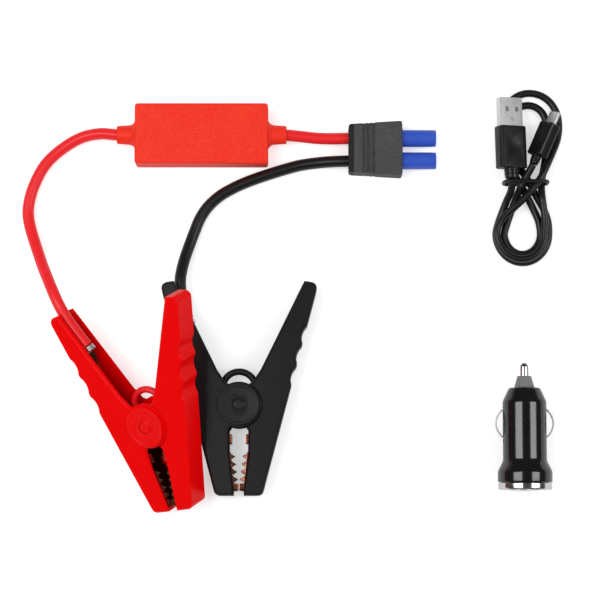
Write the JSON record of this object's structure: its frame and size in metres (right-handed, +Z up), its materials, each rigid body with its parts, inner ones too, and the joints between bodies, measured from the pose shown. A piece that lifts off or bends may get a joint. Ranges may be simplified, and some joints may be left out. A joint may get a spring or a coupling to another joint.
{
  "type": "jump starter accessory pack",
  "caption": "Jump lead set with two spring clamps, relay module and two-pole plug, laid out with a charging cable and a 12 V socket adapter.",
  "frame": {"origin": "table level, below the middle of the footprint of everything but the free cords and their plugs", "axes": "+X to the right of the laid-out set, +Y away from the clamps' jaws towards the module, +Z up"},
  "size_m": [0.258, 0.2022, 0.0619],
  "materials": {
    "red_plastic": "satin moulded plastic",
    "black_plastic": "fine satin moulded plastic",
    "module_orange": "fine-grained orange-red plastic",
    "red_silicone": "smooth silicone rubber",
    "black_silicone": "smooth rubber",
    "grey_overmould": "dark grey grained overmould",
    "blue_plastic": "glossy blue plastic",
    "copper": "bright copper-plated sheet",
    "spring_steel": "drawn wire",
    "bright_steel": "bright nickel plate",
    "brushed_steel": "brushed nickel plate",
    "gold_plate": "gold plate",
    "gloss_black": "polished black plastic",
    "nose_grey": "satin grey plastic",
    "board_green": "solder mask",
    "white_plastic": "satin white plastic"
  },
  "bodies": {
    "lead_set": {"black_grip_left": "black_plastic", "black_jaw_left": "copper", "black_pivot_pin": "black_plastic", "black_cap_front": "black_plastic", "black_cap_back": "black_plastic", "black_spring": "spring_steel", "black_bridge_wire": "black_silicone", "black_crimp_sleeve": "bright_steel", "red_grip_left": "red_plastic", "red_jaw_left": "copper", "red_pivot_pin": "red_plastic", "red_cap_front": "red_plastic", "red_cap_back": "red_plastic", "red_spring": "spring_steel", "red_bridge_wire": "red_silicone", "red_crimp_sleeve": "bright_steel", "red_clamp_lead": "red_silicone", "red_plug_lead": "red_silicone", "black_clamp_lead": "black_silicone", "module_cover_top": "module_orange", "module_cover_bottom": "module_orange", "module_board": "board_green", "module_relay": "black_plastic", "module_diode_pack": "black_plastic", "module_terminal_left": "gold_plate", "module_terminal_right": "gold_plate", "module_gland_right": "module_orange", "module_gland_left": "module_orange", "plug_grip": "grey_overmould", "plug_housing_blue": "blue_plastic", "plug_contact_red": "gold_plate", "plug_contact_black": "gold_plate"},
    "black_right_half": {"black_grip_right": "black_plastic", "black_jaw_right": "copper"},
    "red_right_half": {"red_grip_right": "red_plastic", "red_jaw_right": "copper"},
    "charging_cable_set": {"charging_cable": "black_silicone", "cable_tie": "black_silicone", "wide_plug_shell": "brushed_steel", "wide_plug_grip": "black_plastic", "wide_plug_tongue": "white_plastic", "small_plug_shell": "brushed_steel", "small_plug_grip": "black_plastic", "small_plug_tongue": "black_plastic"},
    "socket_adapter": {"adapter_body": "gloss_black", "adapter_end_ring": "bright_steel", "adapter_port_insert": "black_plastic", "adapter_port_tongue": "white_plastic", "adapter_board": "board_green", "adapter_nose_cone": "nose_grey", "adapter_tip_spring": "spring_steel"},
    "adapter_tip_pin": {"adapter_tip": "bright_steel"},
    "left_side_contact": {"adapter_contact_left": "bright_steel"},
    "right_side_contact": {"adapter_contact_right": "bright_steel"}
  },
  "joints": [
    {"name": "black_clamp_hinge", "type": "hinge", "parent": "lead_set", "child": "black_right_half", "pos_m": [-0.03, -0.04645, 0.0085], "axis": [0, 0, 1], "range_deg": [0, 38], "stiffness_Nm_per_rad": 0.8, "springref_deg": -60.16, "deforming": ["black_spring", "black_bridge_wire"]},
    {"name": "red_clamp_hinge", "type": "hinge", "parent": "lead_set", "child": "red_right_half", "pos_m": [-0.06915, -0.0547, 0.0221], "axis": [-0.4797, -0.3748, 0.7934], "range_deg": [0, 38], "stiffness_Nm_per_rad": 0.8, "springref_deg": -60.16, "deforming": ["red_spring", "red_bridge_wire"]},
    {"name": "cable_lift", "type": "slide", "parent": "lead_set", "child": "charging_cable_set", "axis": [0, 0, 1], "range_m": [0, 0.08]},
    {"name": "adapter_lift", "type": "slide", "parent": "lead_set", "child": "socket_adapter", "axis": [0, 0, 1], "range_m": [0, 0.08]},
    {"name": "tip_press", "type": "slide", "parent": "socket_adapter", "child": "adapter_tip_pin", "axis": [0, -1, 0], "range_m": [0, 0.0025], "stiffness_N_per_m": 800, "springref_m": -0.002, "deforming": ["adapter_tip_spring"]},
    {"name": "left_contact_press", "type": "slide", "parent": "socket_adapter", "child": "left_side_contact", "axis": [1, 0, 0], "range_m": [0, 0.002], "stiffness_N_per_m": 1500, "springref_m": -0.001},
    {"name": "right_contact_press", "type": "slide", "parent": "socket_adapter", "child": "right_side_contact", "axis": [-1, 0, 0], "range_m": [0, 0.002], "stiffness_N_per_m": 1500, "springref_m": -0.001}
  ]
}
